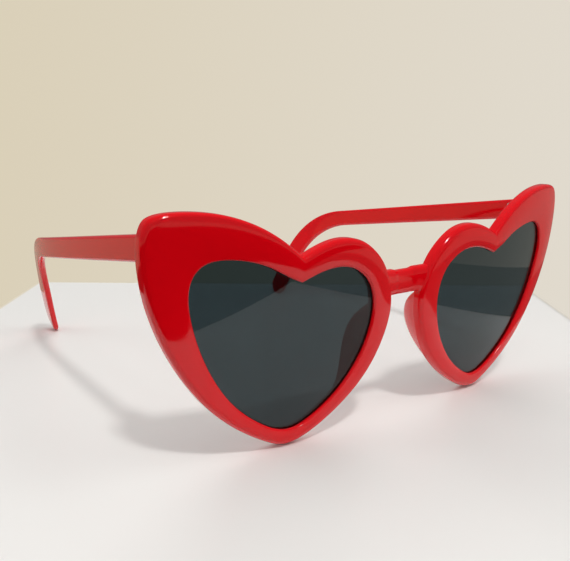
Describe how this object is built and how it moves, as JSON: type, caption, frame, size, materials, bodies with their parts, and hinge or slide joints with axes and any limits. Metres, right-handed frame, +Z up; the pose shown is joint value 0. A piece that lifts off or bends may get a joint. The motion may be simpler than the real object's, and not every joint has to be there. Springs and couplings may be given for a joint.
{
  "type": "heart shaped sunglasses",
  "caption": "Cat-eye sunglasses with two heart shaped tinted lenses, a bridge, moulded nose pads and two temples that fold in on barrel hinges.",
  "frame": {"origin": "on the table under the middle of the open pair, halfway between the front of the hearts and the back of the temple tips", "axes": "+X to the wearer's left, +Y from the lenses back along the temples, +Z up"},
  "size_m": [0.1462, 0.1438, 0.0621],
  "materials": {
    "red_plastic": "high gloss moulded red",
    "lens": "polished smoke grey tint",
    "hinge_steel": "plain plated steel"
  },
  "bodies": {
    "front": {"front_frame": "red_plastic", "right_lens": "lens", "left_lens": "lens", "right_front_leaf": "hinge_steel", "right_pivot_screw": "hinge_steel", "right_front_near_screw": "hinge_steel", "right_front_far_screw": "hinge_steel", "left_front_leaf": "hinge_steel", "left_pivot_screw": "hinge_steel", "left_front_near_screw": "hinge_steel", "left_front_far_screw": "hinge_steel"},
    "right_arm": {"right_temple": "red_plastic", "right_temple_leaf": "hinge_steel", "right_temple_near_screw": "hinge_steel", "right_temple_far_screw": "hinge_steel"},
    "left_arm": {"left_temple": "red_plastic", "left_temple_leaf": "hinge_steel", "left_temple_near_screw": "hinge_steel", "left_temple_far_screw": "hinge_steel"}
  },
  "joints": [
    {"name": "right_hinge", "type": "hinge", "parent": "front", "child": "right_arm", "pos_m": [-0.06412, -0.05574, 0.0532], "axis": [0, -0.1513, -0.9885], "range_deg": [0, 85.4]},
    {"name": "left_hinge", "type": "hinge", "parent": "front", "child": "left_arm", "pos_m": [0.06412, -0.05574, 0.0532], "axis": [0, 0.1513, 0.9885], "range_deg": [0, 70]}
  ]
}
